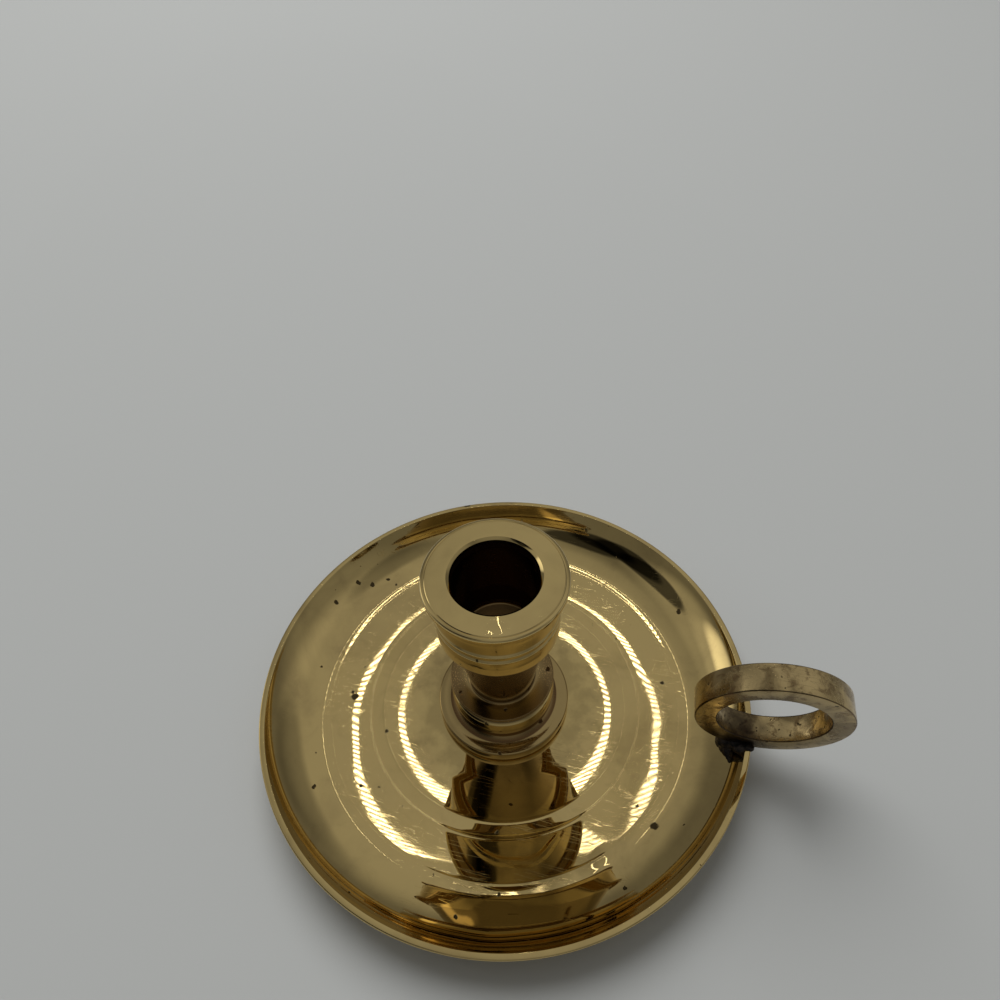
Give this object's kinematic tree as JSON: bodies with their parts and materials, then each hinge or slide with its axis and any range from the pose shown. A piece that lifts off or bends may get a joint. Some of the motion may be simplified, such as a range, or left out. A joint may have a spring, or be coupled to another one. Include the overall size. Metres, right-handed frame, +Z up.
{
  "type": "chamberstick with finger loop",
  "caption": "Turned brass candlestick on a round saucer pan, with a finger ring brazed upright on the pan's lip.",
  "frame": {"origin": "On the candle axis, on the surface the pan stands on.", "axes": "+Z is up out of the candle bore. +X runs from the candle axis to the finger ring. +Y runs through the ring's finger hole."},
  "size_m": [0.1608, 0.14, 0.0656],
  "materials": {
    "pan_brass": "old polish, faint turning rings, pits and dark specks",
    "column_brass": "old polish with turning marks",
    "ring_brass": "dulled and pitted, browned by the brazing heat",
    "burnt_braze": "rough, burnt nearly black",
    "fixing_brass": "plain turned, tarnished"
  },
  "bodies": {
    "root": {"pan": "pan_brass", "candle_column": "column_brass", "finger_ring": "ring_brass", "braze_lump": "burnt_braze", "fixing_screw": "fixing_brass", "washer": "fixing_brass"}
  },
  "joints": []
}
